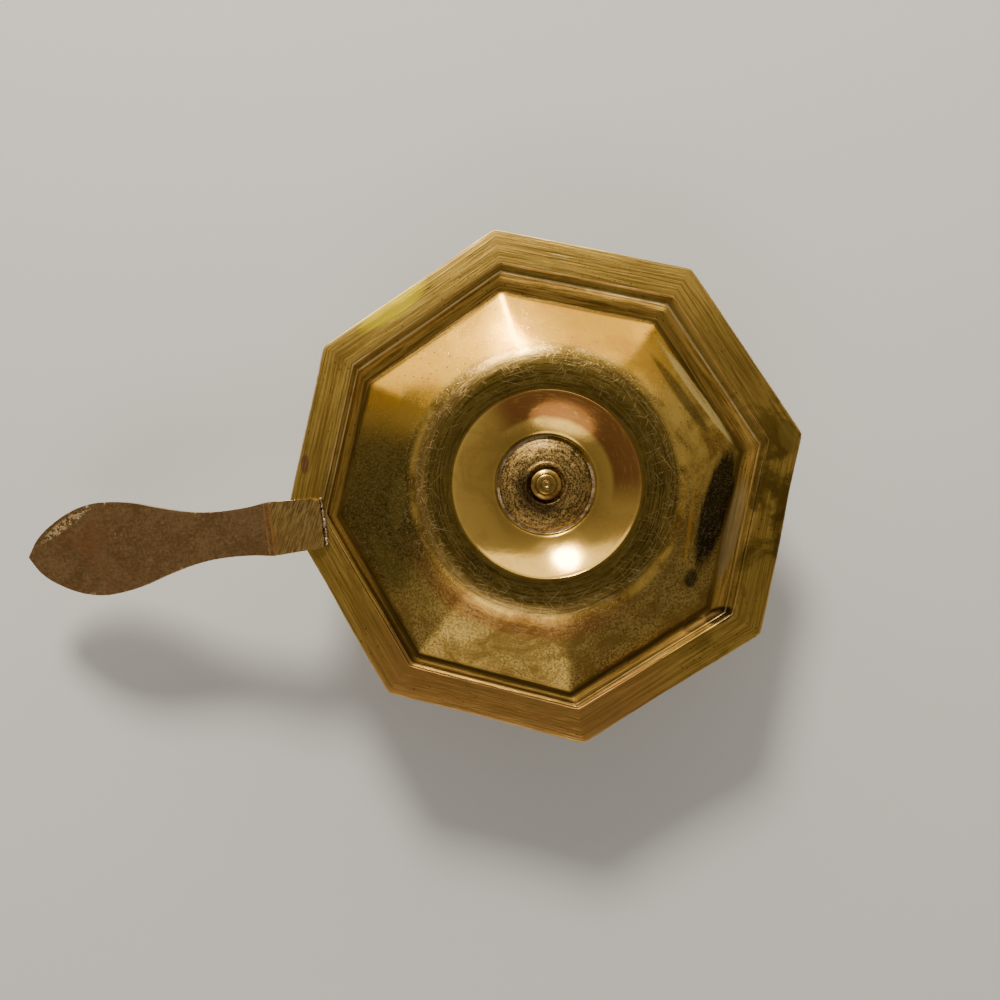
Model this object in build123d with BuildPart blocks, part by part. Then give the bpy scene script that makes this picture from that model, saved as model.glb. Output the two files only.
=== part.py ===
from build123d import *
import os
from math import cos, radians, sin

# A brass chamber candlestick, lying upside down on the lip of its candle socket.
# +Z runs from the lip up through the foot, so the underside of the pan faces up.
# -X runs along the handle. The origin is on the axis, in the plane of the lip.

# Driving dimensions, in millimetres and degrees.
ACROSS_FLATS = 127.0
RIM_Z = 34.0  # underside of the flat rim, above the lip
FOOT_RISE = 6.5  # the foot ring stands this far proud of the rim
VALLEY_DROP = 2.8  # the hollow behind the edge moulding, below the rim
METAL = 1.7  # wall of the pan
RIM_METAL = 1.6
SOCKET_BORE_R = 11.1  # takes a seven-eighths candle
SOCKET_BORE_DEPTH = 20.0
TENON_R = 4.2
BEND_ANGLE = 12.0  # the blade drops away from the rim by this much
STRIP = 1.6  # thickness of the handle strip

# Octagonal part of the pan, measured from the axis square to an average side.
# It was cut out by hand, so its corners aren't quite evenly spaced.
CORNERS = (3.3, 48.0, 93.5, 140.1, 178.9, 225.0, 270.2, 317.2)
SIDES = len(CORNERS)
MITRE_ANGLE = 180 / SIDES
EDGE = ACROSS_FLATS / 2
CORNER_R = EDGE / cos(radians(MITRE_ANGLE))
BAND_INNER = 55.1  # inner arris of the flat rim
LEDGE_OUTER = 54.8
LEDGE_INNER = 53.6
VALLEY_OUTER = 50.8
VALLEY_INNER = 49.5
LEDGE_DROP = 0.8

# Round part of the pan, as radii.
SHOULDER_R = 36.0
CREST_OUTER_R = 29.0
CREST_INNER_R = 24.6
FUNNEL_R = 13.4
SEAT_R = 12.9
DISC_R = 12.2
PAN_HOLE_R = 4.6
SHOULDER_SLOPE = 28.8  # where the foot ring's rounded shoulder meets the facets
SEAT_DROP = 1.7  # seat of the retaining disc, below the rim
BOSS_DROP = 3.75  # face that the socket's foot meets, below the rim

SHOULDER_ARC_R = (SHOULDER_R - CREST_OUTER_R) / sin(radians(SHOULDER_SLOPE))
SHOULDER_FALL = SHOULDER_ARC_R * (1 - cos(radians(SHOULDER_SLOPE)))

# Handle, measured along the strip from its scored bend.
BEND_X = 72.7
TAB_END_X = 59.4
BLADE_LENGTH = 72.5
SKEW = -1.2  # the strip was soldered on a little askew, turned about its tip
BEND_HALF_WIDTH = 7.1
TAB_HALF_WIDTH = 6.45
NECK_AT, NECK_HALF_WIDTH = 14.3, 6.15
LEAF_AT, LEAF_HALF_WIDTH = 49.3, 12.6
SCORE_DEPTH = 0.5
SCORE_WIDTH = 1.1
LIP_R = 16.5

SOLDER_FILM = 0.1
SOLDER_SPREAD = 0.9
SOLDER_HEIGHT = 0.9
SOLDER_START = 75.0  # where the solder round the disc begins, and how far it runs
SOLDER_ARC = 305.0

RUNNING_CLEARANCE = 0.06
FACE_GAP = 0.3

os.makedirs("parts", exist_ok=True)


def write(piece, name):
    """Labels a finished piece and writes it as one STEP file."""
    piece.part.label = name
    export_step(piece.part, f"parts/{name}.step")


def corner_points(square_distance):
    """The corners of the octagon at a distance square to an average side."""
    radius = square_distance / cos(radians(MITRE_ANGLE))
    return [(radius * cos(radians(a)), radius * sin(radians(a))) for a in CORNERS]


def upright(angle):
    """The plane that holds the axis and the direction at this angle, for turned sections."""
    a = radians(angle)
    return Plane(origin=(0, 0, 0), x_dir=(cos(a), sin(a), 0), z_dir=(sin(a), -cos(a), 0))


def side_span(k):
    """The angle that side k takes up, from its corner to the next."""
    return (CORNERS[(k + 1) % SIDES] - CORNERS[k]) % 360


def dome_solid(drop, height):
    """Eight facets that rise from an octagon and fade into a circle."""
    with BuildPart() as dome:
        with BuildSketch(Plane.XY.offset(RIM_Z - drop)):
            Polygon(*corner_points(VALLEY_INNER), align=None)
        with BuildSketch(Plane.XY.offset(RIM_Z + height)):
            with BuildLine():
                for k in range(SIDES):
                    CenterArc((0, 0), SHOULDER_R, CORNERS[k], side_span(k))
            make_face()
        loft(ruled=True)
    return dome.part


def curve_points(start, middle, end, steps=6):
    """Points along the parabola from start through middle to end, without start."""
    points = []
    for step in range(1, steps + 1):
        t = step / steps
        weights = ((1 - t) * (1 - 2 * t), 4 * t * (1 - t), t * (2 * t - 1))
        points.append(tuple(
            sum(w * p[axis] for w, p in zip(weights, (start, middle, end))) for axis in (0, 1)
        ))
    return points


# Section of the edge moulding. Every curve is drawn in short straight runs, so that the
# sections of two neighbouring sides, which differ a little in width, meet at their mitre.
LEDGE_Z = RIM_Z - LEDGE_DROP
VALLEY_Z = RIM_Z - VALLEY_DROP
ROLL_Z = VALLEY_Z - METAL
EDGE_SECTION = [
    (EDGE, RIM_Z - RIM_METAL),
    (EDGE, RIM_Z),
    (BAND_INNER, RIM_Z),
    (LEDGE_OUTER, LEDGE_Z),
    (LEDGE_INNER, LEDGE_Z - 0.3),
    *curve_points(
        (LEDGE_INNER, LEDGE_Z - 0.3), (52.4, VALLEY_Z + 0.65), (VALLEY_OUTER, VALLEY_Z)
    ),
    (VALLEY_INNER, VALLEY_Z),
    (VALLEY_INNER, ROLL_Z),
    (VALLEY_INNER + 1.5, ROLL_Z),
    # The roll that stands up round the pan when it is the right way up.
    *curve_points(
        (VALLEY_INNER + 1.5, ROLL_Z), (VALLEY_INNER + 3.6, ROLL_Z - 0.9), (BAND_INNER, ROLL_Z)
    ),
    *curve_points(
        (BAND_INNER, ROLL_Z), (BAND_INNER + 0.6, ROLL_Z + 1.7), (BAND_INNER + 2.4, RIM_Z - RIM_METAL)
    ),
]


def edge_side(k):
    """Side k of the octagonal edge moulding, cut to its mitres and turned into place."""
    half = radians(side_span(k) / 2)
    pull = cos(half) / cos(radians(MITRE_ANGLE))  # keeps every corner at one radius
    with BuildPart() as one_side:
        with BuildSketch(Plane.XZ):
            with BuildLine():
                Polyline(*[(pull * x, z) for x, z in EDGE_SECTION], close=True)
            make_face()
        extrude(amount=CORNER_R, both=True)
        for side in (1, -1):
            mitre = (-sin(half), side * cos(half), 0)
            split(bisect_by=Plane(origin=(0, 0, 0), z_dir=mitre), keep=Keep.BOTTOM)
    return one_side.part.rotate(Axis.Z, CORNERS[k] + side_span(k) / 2)


# The facets between the edge moulding and the foot ring, as a shell.
with BuildPart() as facets:
    with BuildSketch(Plane.XY.offset(RIM_Z - VALLEY_DROP - METAL)):
        Polygon(*corner_points(VALLEY_INNER), align=None)
    extrude(amount=METAL)
    add(dome_solid(VALLEY_DROP, FOOT_RISE - SHOULDER_FALL))
    add(
        dome_solid(VALLEY_DROP + METAL, FOOT_RISE - SHOULDER_FALL - METAL),
        mode=Mode.SUBTRACT,
    )
    with BuildSketch(Plane.XY.offset(RIM_Z - 2 * VALLEY_DROP).rotated((0, 0, CORNERS[0]))):
        Circle(SHOULDER_R)
    extrude(amount=4 * FOOT_RISE, mode=Mode.SUBTRACT)

# The turned middle: foot ring, funnel, seat and boss. Its seam lies under a corner.
with BuildPart() as turned_centre:
    with BuildSketch(upright(CORNERS[0])):
        with BuildLine():
            JernArc(
                (CREST_OUTER_R, RIM_Z + FOOT_RISE), (1, 0), SHOULDER_ARC_R, -SHOULDER_SLOPE
            )
            Polyline(
                (CREST_OUTER_R, RIM_Z + FOOT_RISE),
                (CREST_INNER_R, RIM_Z + FOOT_RISE),
                (CREST_INNER_R - 0.4, RIM_Z + FOOT_RISE - 0.25),
            )
            ThreePointArc(
                (CREST_INNER_R - 0.4, RIM_Z + FOOT_RISE - 0.25),
                (18.4, RIM_Z + 2.55),
                (FUNNEL_R, RIM_Z + 0.3),
            )
            Polyline(
                (FUNNEL_R, RIM_Z + 0.3),
                (FUNNEL_R, RIM_Z - 0.2),
                (SEAT_R, RIM_Z - 0.2),
                (SEAT_R, RIM_Z - SEAT_DROP),
                (PAN_HOLE_R, RIM_Z - SEAT_DROP),
                (PAN_HOLE_R, RIM_Z - BOSS_DROP),
                (FUNNEL_R - 0.4, RIM_Z - BOSS_DROP),
                (FUNNEL_R + 0.2, RIM_Z - BOSS_DROP + 0.6),
                (15.5, RIM_Z - 0.6),
                (23.6, RIM_Z + 4.3),
            )
            ThreePointArc(
                (23.6, RIM_Z + 4.3),
                (28.6, RIM_Z + FOOT_RISE - METAL),
                (SHOULDER_R, RIM_Z + FOOT_RISE - SHOULDER_FALL - METAL),
            )
            Line(
                (SHOULDER_R, RIM_Z + FOOT_RISE - SHOULDER_FALL - METAL),
                (SHOULDER_R, RIM_Z + FOOT_RISE - SHOULDER_FALL),
            )
        make_face()
    revolve(axis=Axis.Z)

with BuildPart() as pan:
    for number in range(SIDES):
        add(edge_side(number))
    add(facets.part)
    add(turned_centre.part)
write(pan, "pan")

# The retaining disc: a rough casting let into the seat, with a collar round its hole.
with BuildPart() as retaining_disc:
    with BuildSketch(Plane.XZ):
        with BuildLine():
            Polyline(
                (TENON_R + RUNNING_CLEARANCE, RIM_Z - SEAT_DROP),
                (DISC_R, RIM_Z - SEAT_DROP),
                (DISC_R, RIM_Z - 0.75),
                (DISC_R - 0.4, RIM_Z - 0.5),
            )
            ThreePointArc(
                (DISC_R - 0.4, RIM_Z - 0.5), (9.0, RIM_Z + 0.4), (6.2, RIM_Z + 0.9)
            )
            Polyline(
                (6.2, RIM_Z + 0.9),
                (5.7, RIM_Z + 1.3),
                (5.25, RIM_Z + 1.3),
                (4.95, RIM_Z + 0.9),
                (4.95, RIM_Z - 0.1),
                (TENON_R + RUNNING_CLEARANCE, RIM_Z - 0.3),
                (TENON_R + RUNNING_CLEARANCE, RIM_Z - SEAT_DROP),
            )
        make_face()
    revolve(axis=Axis.Z)
write(retaining_disc, "retaining_disc")

# Solder run in round the disc; a length of it has broken out.
with BuildPart() as disc_solder:
    with BuildSketch(upright(SOLDER_START)):
        with BuildLine():
            Polyline(
                (DISC_R, RIM_Z - SEAT_DROP),
                (SEAT_R, RIM_Z - SEAT_DROP),
                (SEAT_R, RIM_Z - 0.7),
                (DISC_R, RIM_Z - 0.85),
                close=True,
            )
        make_face()
    revolve(axis=Axis.Z, revolution_arc=SOLDER_ARC)
write(disc_solder, "disc_solder")

# The candle socket, turned in one piece with the tenon that screws into the disc.
FOOT_Z = RIM_Z - BOSS_DROP - FACE_GAP
PIN_TOP = RIM_Z + 2.3
with BuildPart() as socket:
    with BuildSketch(Plane.XZ):
        with BuildLine():
            Polyline(
                (0, SOCKET_BORE_DEPTH),
                (SOCKET_BORE_R, SOCKET_BORE_DEPTH),
                (SOCKET_BORE_R, 0),
                (LIP_R - 0.9, 0),
            )
            ThreePointArc((LIP_R - 0.9, 0), (LIP_R, 0.9), (LIP_R - 0.9, 1.8))
            ThreePointArc((LIP_R - 0.9, 1.8), (13.5, 2.4), (13.0, 4.2))
            ThreePointArc((13.0, 4.2), (13.9, 4.9), (13.0, 5.6))
            ThreePointArc((13.0, 5.6), (12.7, 11.5), (13.1, 17.6))
            ThreePointArc((13.1, 17.6), (14.1, 18.4), (13.1, 19.2))
            ThreePointArc((13.1, 19.2), (11.8, 21.6), (8.0, 23.3))
            ThreePointArc((8.0, 23.3), (7.0, 24.6), (7.6, 26.2))
            ThreePointArc((7.6, 26.2), (9.2, 27.9), (12.2, 28.6))
            Polyline(
                (12.2, 28.6),
                (12.6, 29.0),
                (12.6, FOOT_Z),
                (TENON_R, FOOT_Z),
                (TENON_R, RIM_Z + 0.9),
            )
            ThreePointArc(
                (TENON_R, RIM_Z + 0.9), (2.6, PIN_TOP - 0.35), (0.75, PIN_TOP)
            )
            Polyline(
                (0.75, PIN_TOP), (0, PIN_TOP - 0.75), (0, SOCKET_BORE_DEPTH)
            )
        make_face()
    revolve(axis=Axis.Z)
write(socket, "socket")

# The handle: one strip, laid on the rim at a corner, scored and bent outside it.
TAB_Z = RIM_Z + SOLDER_FILM
BEND_TOP = TAB_Z + STRIP
slope = radians(BEND_ANGLE)
blade_plane = Plane(
    origin=(-BEND_X, 0, BEND_TOP),
    x_dir=(-cos(slope), 0, -sin(slope)),
    z_dir=(-sin(slope), 0, cos(slope)),
)
with BuildPart() as handle:
    with BuildSketch(Plane.XY.offset(TAB_Z)):
        Polygon(
            (-BEND_X, -BEND_HALF_WIDTH),
            (-BEND_X, BEND_HALF_WIDTH),
            (-TAB_END_X, TAB_HALF_WIDTH),
            (-TAB_END_X, -TAB_HALF_WIDTH),
            align=None,
        )
    extrude(amount=STRIP)
    with BuildSketch(blade_plane):
        with BuildLine():
            for side in (1, -1):
                Spline(
                    (0, side * BEND_HALF_WIDTH),
                    (NECK_AT, side * NECK_HALF_WIDTH),
                    (LEAF_AT, side * LEAF_HALF_WIDTH),
                    (BLADE_LENGTH, 0),
                    tangents=[(1, -side * 0.16), (0.75, -side)],
                )
            Line((0, BEND_HALF_WIDTH), (0, -BEND_HALF_WIDTH))
        make_face()
    extrude(amount=-STRIP)
    with Locations((-BEND_X, 0, BEND_TOP)):
        Cylinder(
            SCORE_DEPTH, 4 * BEND_HALF_WIDTH, rotation=(90, 0, 0), mode=Mode.SUBTRACT
        )
tip = Axis((-BEND_X - BLADE_LENGTH * cos(slope), 0, 0), (0, 0, 1))
handle.part = handle.part.rotate(tip, SKEW)
write(handle, "handle")

# Solder under the tab, with a lumpy seam along its inner end.
with BuildPart() as handle_solder:
    with BuildSketch(Plane.XY.offset(RIM_Z)):
        Polygon(
            (-CORNER_R - 0.5, -TAB_HALF_WIDTH),
            (-CORNER_R - 0.5, TAB_HALF_WIDTH),
            (-TAB_END_X, TAB_HALF_WIDTH),
            (-TAB_END_X, -TAB_HALF_WIDTH),
            align=None,
        )
    extrude(amount=SOLDER_FILM)
    with Locations((-TAB_END_X, 0, RIM_Z)):
        Box(
            SOLDER_SPREAD, 2 * TAB_HALF_WIDTH, SOLDER_HEIGHT + LEDGE_DROP + 0.6,
            align=(Align.MIN, Align.CENTER, Align.CENTER),
        )
handle_solder.part = handle_solder.part.rotate(tip, SKEW)
handle_solder.part = handle_solder.part - pan.part - handle.part
write(handle_solder, "handle_solder")
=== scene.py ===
"""A brass chamber candlestick, laid upside down on its candle socket on a pale floor.

Lengths are in millimetres until a piece is finished, and in metres in the scene.
"""

from __future__ import annotations

import logging
import math
from dataclasses import dataclass
from enum import Enum
from functools import reduce
from typing import Callable, Sequence, Union

import bmesh
import bpy
from mathutils import Matrix, Vector, geometry, noise

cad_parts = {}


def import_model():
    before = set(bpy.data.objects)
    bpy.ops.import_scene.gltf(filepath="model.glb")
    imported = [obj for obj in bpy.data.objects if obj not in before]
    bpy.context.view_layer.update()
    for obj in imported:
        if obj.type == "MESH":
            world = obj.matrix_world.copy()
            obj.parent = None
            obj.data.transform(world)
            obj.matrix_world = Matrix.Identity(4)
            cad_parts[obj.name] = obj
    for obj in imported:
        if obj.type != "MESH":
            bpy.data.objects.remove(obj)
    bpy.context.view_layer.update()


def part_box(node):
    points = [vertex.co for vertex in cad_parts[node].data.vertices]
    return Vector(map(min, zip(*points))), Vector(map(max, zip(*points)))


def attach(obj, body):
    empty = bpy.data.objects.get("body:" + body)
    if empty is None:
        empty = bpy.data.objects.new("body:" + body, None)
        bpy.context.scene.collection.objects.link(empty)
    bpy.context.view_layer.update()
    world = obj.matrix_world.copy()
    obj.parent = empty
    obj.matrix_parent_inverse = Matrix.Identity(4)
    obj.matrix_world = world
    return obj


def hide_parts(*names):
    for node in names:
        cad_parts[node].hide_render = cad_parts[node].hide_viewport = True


logging.basicConfig(level=logging.INFO, format="%(message)s")
LOG = logging.getLogger("candlestick")

MM = 0.001
CORNERS = (3.3, 48.0, 93.5, 140.1, 178.9, 225.0, 270.2, 317.2)  # of the octagon, in degrees
EVEN_HALF = math.radians(22.5)  # half of the angle that an average side takes up
RIM = 34.0  # height of the rim's underside above the lip
RIM_THICK = 1.6
SHOULDER = 36.0  # reach at which the facets start
VALLEY = 49.9  # reach at which they end, in front of the moulding
ARRIS = 54.9  # reach of the flat rim's inner arris
HOLLOW_SHIFT = Vector((-1.35, -1.65, 0.0))  # how far off centre the hollow was cast
MOULDING_RISE = 3.7  # width over which the moulding takes up that shift
BEND_X = 72.7  # distance of the handle's scored bend from the axis
TAB_LENGTH = 13.3
HANDLE_TIP = (-143.6, 0.0)  # the strip is turned a little about its tip
HANDLE_SKEW = math.radians(-1.2)
BEND_ANGLE = math.radians(12.0)
STRIP = 1.6
STRIP_TOP = RIM + 0.1 + STRIP
CORNER_BLUNT = 0.0025  # share of the reach that wear has taken off each corner
CORNER_WORN = math.radians(1.1)  # angle on each side of a corner that is worn
LATHE_R = 0.045  # radius that the stored lathe coordinate is wrapped round, in metres
MIX_A, MIX_B, MIX_RESULT = 6, 7, 2  # colour sockets of a Mix node

Value = Union[float, str, Sequence[float], bpy.types.NodeSocket]


class Body(Enum):
    """The rigid bodies that pieces ride on."""

    PAN = "pan"
    SOCKET = "socket"


class Zone(Enum):
    """Bands of the pan's underside: start, end and soft edge, in mm of reach."""

    FUNNEL = (13.6, 24.4, 0.3)
    FUNNEL_SHADE = (17.5, 24.4, 0.7)
    CREST = (24.6, 34.0, 0.6)
    HAZE = (26.2, 37.0, 2.2)
    SHOULDER = (29.6, 36.2, 1.6)
    WORN_AND_SHEEN = (31.2, 33.8, 0.9)
    RUDDY = (34.5, 39.5, 1.2)
    SLOPE = (35.5, 49.4, 0.8)
    FACET = (36.5, 49.3, 0.8)
    VALLEY = (49.1, 50.6, 0.4)
    COVE = (49.6, 54.0, 0.3)
    COVE_ARRIS = (53.5, 53.8, 0.12)
    INNER_ARRIS = (54.9, 55.3, 0.12)
    OUTER_ARRIS = (63.15, 64.0, 0.12)


def linear(hex_colour: str) -> tuple[float, float, float, float]:
    """Turns an sRGB hex colour into linear light.

    Args:
        hex_colour: Six hex digits after a hash.

    Returns:
        Red, green, blue and an alpha of one.
    """
    channels = []
    for start in (1, 3, 5):
        value = int(hex_colour[start : start + 2], 16) / 255.0
        if value <= 0.04045:
            channels.append(value / 12.92)
        else:
            channels.append(((value + 0.055) / 1.055) ** 2.4)
    return (channels[0], channels[1], channels[2], 1.0)


def per_feature(size_mm: float) -> float:
    """Returns the texture scale that makes one feature about size_mm across.

    Args:
        size_mm: Size of a feature on the real surface.

    Returns:
        Features per metre.
    """
    return 1.0 / (size_mm * MM)


@dataclass(frozen=True)
class Sector:
    """One side of the hand-cut octagon.

    Attributes:
        start: Angle of its first corner, in radians.
        span: Angle to its other corner.
    """

    start: float
    span: float

    @classmethod
    def every(cls) -> list["Sector"]:
        """Returns the octagon's sides, in order."""
        ends = CORNERS[1:] + (CORNERS[0] + 360.0,)
        return [cls(math.radians(a), math.radians(b - a)) for a, b in zip(CORNERS, ends)]

    @classmethod
    def at(cls, angle: float) -> "Sector":
        """Returns the side that lies at an angle.

        Args:
            angle: Angle round the axis, in radians.

        Returns:
            The side.
        """
        for sector in cls.every():
            if (angle - sector.start) % math.tau < sector.span:
                return sector
        return cls.every()[-1]

    def off_middle(self, angle: float) -> float:
        """Returns how far an angle is from the middle of the side.

        Args:
            angle: Angle round the axis, in radians.

        Returns:
            The angle from the middle, in radians, to either side.
        """
        return abs((angle - self.start) % math.tau - self.span / 2)

    def nearness(self, angle: float) -> float:
        """Returns the side's distance at an angle, over that of an average side's middle.

        Args:
            angle: Angle round the axis, in radians.

        Returns:
            The distance, as a share of the average.
        """
        pull = math.cos(self.span / 2) / math.cos(EVEN_HALF)
        return pull / math.cos(self.off_middle(angle))


def drift(reach: float) -> Vector:
    """How far the hollow behind the moulding lies off centre, as the casting came out.

    Args:
        reach: Distance from the axis, square to a side, in millimetres.

    Returns:
        The move in plan: none at the turned shoulder and none at the rim.
    """
    if reach < VALLEY:
        share = (reach - SHOULDER) / (VALLEY - SHOULDER)
    else:
        share = (ARRIS - reach) / MOULDING_RISE
    return HOLLOW_SHIFT * min(max(share, 0.0), 1.0)


def smooth(value: float, low: float, high: float) -> float:
    """Ramps smoothly from 0 at low to 1 at high.

    Args:
        value: Where to read the ramp.
        low: Where it starts.
        high: Where it ends.

    Returns:
        The ramp's height, from 0 to 1.
    """
    t = min(max((value - low) / (high - low), 0.0), 1.0)
    return t * t * (3.0 - 2.0 * t)


# --------------------------------------------------------------------------
# Shader building
# --------------------------------------------------------------------------


class Shader:
    """A material's node tree, with short calls for the nodes used here."""

    def __init__(self, name: str) -> None:
        """Starts an empty material with a Principled surface.

        Args:
            name: Name of the material.
        """
        self.material = bpy.data.materials.new(name)
        self.material.use_nodes = True
        self.tree = self.material.node_tree
        self.tree.nodes.clear()
        self.surface = self.tree.nodes.new("ShaderNodeBsdfPrincipled")
        output = self.tree.nodes.new("ShaderNodeOutputMaterial")
        self.tree.links.new(self.surface.outputs["BSDF"], output.inputs["Surface"])

    def plug(self, socket: bpy.types.NodeSocket, value: Value) -> None:
        """Links a socket, or sets its constant.

        Args:
            socket: The input.
            value: Another node's output, a number, a vector or a hex colour.
        """
        if isinstance(value, bpy.types.NodeSocket):
            self.tree.links.new(value, socket)
        else:
            socket.default_value = linear(value) if isinstance(value, str) else value

    def add(self, kind: str, inputs: dict[object, Value], **settings: object) -> bpy.types.Node:
        """Adds a node.

        Args:
            kind: The node's type, without its ShaderNode prefix.
            inputs: Values or links by input name or number.
            **settings: Properties of the node.

        Returns:
            The new node.
        """
        node = self.tree.nodes.new("ShaderNode" + kind)
        for name, value in settings.items():
            setattr(node, name, value)
        for key, value in inputs.items():
            self.plug(node.inputs[key], value)
        return node

    def point(self) -> bpy.types.NodeSocket:
        """Returns the object-space position, in metres."""
        return self.add("TexCoord", {}).outputs["Object"]

    def attribute(self, name: str) -> bpy.types.NodeSocket:
        """Returns a stored vector attribute of the mesh.

        Args:
            name: The attribute's name.

        Returns:
            The attribute's value.
        """
        return self.add("Attribute", {}, attribute_name=name).outputs["Vector"]

    def stretch(
        self,
        vector: Value,
        scale: Sequence[float],
        turn: Sequence[float] = (0.0, 0.0, 0.0),
        shift: Sequence[float] = (0.0, 0.0, 0.0),
    ) -> bpy.types.NodeSocket:
        """Moves, turns and scales a coordinate.

        Args:
            vector: The coordinate.
            scale: Scale along each axis.
            turn: Turn about each axis, in degrees.
            shift: Move along each axis.

        Returns:
            The new coordinate.
        """
        radians = [math.radians(t) for t in turn]
        inputs = {"Vector": vector, "Location": shift, "Rotation": radians, "Scale": scale}
        return self.add("Mapping", inputs).outputs["Vector"]

    def noise(
        self, vector: Value, size_mm: float, detail: float = 3.0, rough: float = 0.55,
        warp: float = 0.0,
    ) -> bpy.types.NodeSocket:
        """Cloudy noise.

        Args:
            vector: Where to read it.
            size_mm: Size of the largest clouds.
            detail: Octaves.
            rough: Strength of the finer octaves.
            warp: Distortion.

        Returns:
            The noise, about 0.5.
        """
        inputs = {
            "Vector": vector, "Scale": per_feature(size_mm), "Detail": detail,
            "Roughness": rough, "Distortion": warp,
        }
        return self.add("TexNoise", inputs).outputs["Fac"]

    def cells(self, vector: Value, size_mm: float, jitter: float = 1.0) -> bpy.types.NodeSocket:
        """Distance to the nearest of some scattered points, 0 at each point.

        Args:
            vector: Where to read it.
            size_mm: Spacing of the points.
            jitter: How unevenly they are scattered.

        Returns:
            The distance, as a share of the spacing.
        """
        inputs = {"Vector": vector, "Scale": per_feature(size_mm), "Randomness": jitter}
        return self.add("TexVoronoi", inputs).outputs["Distance"]

    def ramp(
        self, value: Value, low: float, high: float, start: Value = 0.0, end: Value = 1.0
    ) -> bpy.types.NodeSocket:
        """Maps a value smoothly from low..high to start..end, and holds it outside.

        Args:
            value: The value.
            low: Where the change starts.
            high: Where it ends.
            start: Result at low.
            end: Result at high.

        Returns:
            The mapped value.
        """
        inputs = {
            "Value": value, "From Min": low, "From Max": high, "To Min": start, "To Max": end,
        }
        node = self.add("MapRange", inputs, interpolation_type="SMOOTHSTEP", clamp=True)
        return node.outputs["Result"]

    def band(
        self, value: Value, low: float, high: float, soft: float
    ) -> bpy.types.NodeSocket:
        """One between low and high, and nothing outside.

        Args:
            value: The value.
            low: Where the band starts.
            high: Where it ends.
            soft: Width of its soft edges.

        Returns:
            The mask.
        """
        rise = self.ramp(value, low - soft, low + soft)
        fall = self.ramp(value, high - soft, high + soft, 1.0, 0.0)
        return self.math("MULTIPLY", rise, fall)

    def math(self, operation: str, a: Value, b: Value = 0.0) -> bpy.types.NodeSocket:
        """Combines two values.

        Args:
            operation: Name of the operation.
            a: First value.
            b: Second value.

        Returns:
            The result.
        """
        return self.add("Math", {0: a, 1: b}, operation=operation, use_clamp=False).outputs[0]

    def mix(self, amount: Value, a: Value, b: Value) -> bpy.types.NodeSocket:
        """Blends two colours.

        Args:
            amount: Share of the second.
            a: First colour.
            b: Second colour.

        Returns:
            The blended colour.
        """
        node = self.tree.nodes.new("ShaderNodeMix")
        node.data_type = "RGBA"
        self.plug(node.inputs["Factor"], amount)
        self.plug(node.inputs[MIX_A], a)
        self.plug(node.inputs[MIX_B], b)
        return node.outputs[MIX_RESULT]

    def layers(self, colour: Value, tones: Sequence[tuple[Value, Value]]) -> Value:
        """Lays tones over a colour, one on top of another.

        Args:
            colour: The colour at the bottom.
            tones: The share and the colour of each layer, lowest first.

        Returns:
            The colour at the top.
        """
        for share, tone in tones:
            colour = self.mix(share, colour, tone)
        return colour

    def blend(self, a: Value, b: Value, share: float = 0.5) -> bpy.types.NodeSocket:
        """Averages two values.

        Args:
            a: First value.
            b: Second value.
            share: Weight of the first.

        Returns:
            The weighted average.
        """
        return self.total(self.both(a, share), self.both(b, 1.0 - share))

    def total(self, *values: Value) -> Value:
        """Adds values up."""
        return reduce(lambda a, b: self.math("ADD", a, b), values)

    def highest(self, *masks: Value) -> Value:
        """Returns the highest of some masks at each place."""
        return reduce(lambda a, b: self.math("MAXIMUM", a, b), masks)

    def length(self, vector: Value, centre: Sequence[float]) -> bpy.types.NodeSocket:
        """Distance from a point.

        Args:
            vector: The position.
            centre: The point, in metres.

        Returns:
            The distance.
        """
        node = self.add("VectorMath", {0: vector, 1: centre}, operation="DISTANCE")
        return node.outputs["Value"]

    def split(self, vector: Value) -> tuple[bpy.types.NodeSocket, ...]:
        """Returns the three components of a vector.

        Args:
            vector: The vector.

        Returns:
            Its X, Y and Z.
        """
        node = self.add("SeparateXYZ", {"Vector": vector})
        return tuple(node.outputs)

    def scratches(
        self, vector: Value, heading: float, length_mm: float, width_mm: float, share: float
    ) -> bpy.types.NodeSocket:
        """Thin straight scratches that all run one way.

        Args:
            vector: Object position.
            heading: Direction of the scratches in plan, in degrees.
            length_mm: Length of a scratch.
            width_mm: Width of a scratch.
            share: How much of the surface they cover, from 0 to 1.

        Returns:
            One on a scratch and nothing elsewhere.
        """
        squeeze = width_mm / length_mm
        turned = self.stretch(vector, (1.0, 1.0, 1.0), (0.0, 0.0, -heading))
        drawn = self.stretch(turned, (squeeze, 1.0, 0.35), shift=(heading * 0.011, 0.0, 0.0))
        lines = self.noise(drawn, width_mm * 2.4, 1.0, 0.4, 0.15)
        return self.ramp(lines, 0.72 - share * 0.22, 0.80 - share * 0.22)

    def haze(
        self, vector: Value, runs: Sequence[tuple[float, float, float, float]]
    ) -> Value:
        """Runs of scratches that cross.

        Args:
            vector: Object position.
            runs: Heading, length, width and share of each run, as scratches takes them.

        Returns:
            One on a scratch and nothing elsewhere.
        """
        return self.highest(*(self.scratches(vector, *run) for run in runs))

    def both(self, a: Value, b: Value) -> bpy.types.NodeSocket:
        """Multiplies two masks.

        Args:
            a: First mask.
            b: Second mask.

        Returns:
            Their product.
        """
        return self.math("MULTIPLY", a, b)

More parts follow.
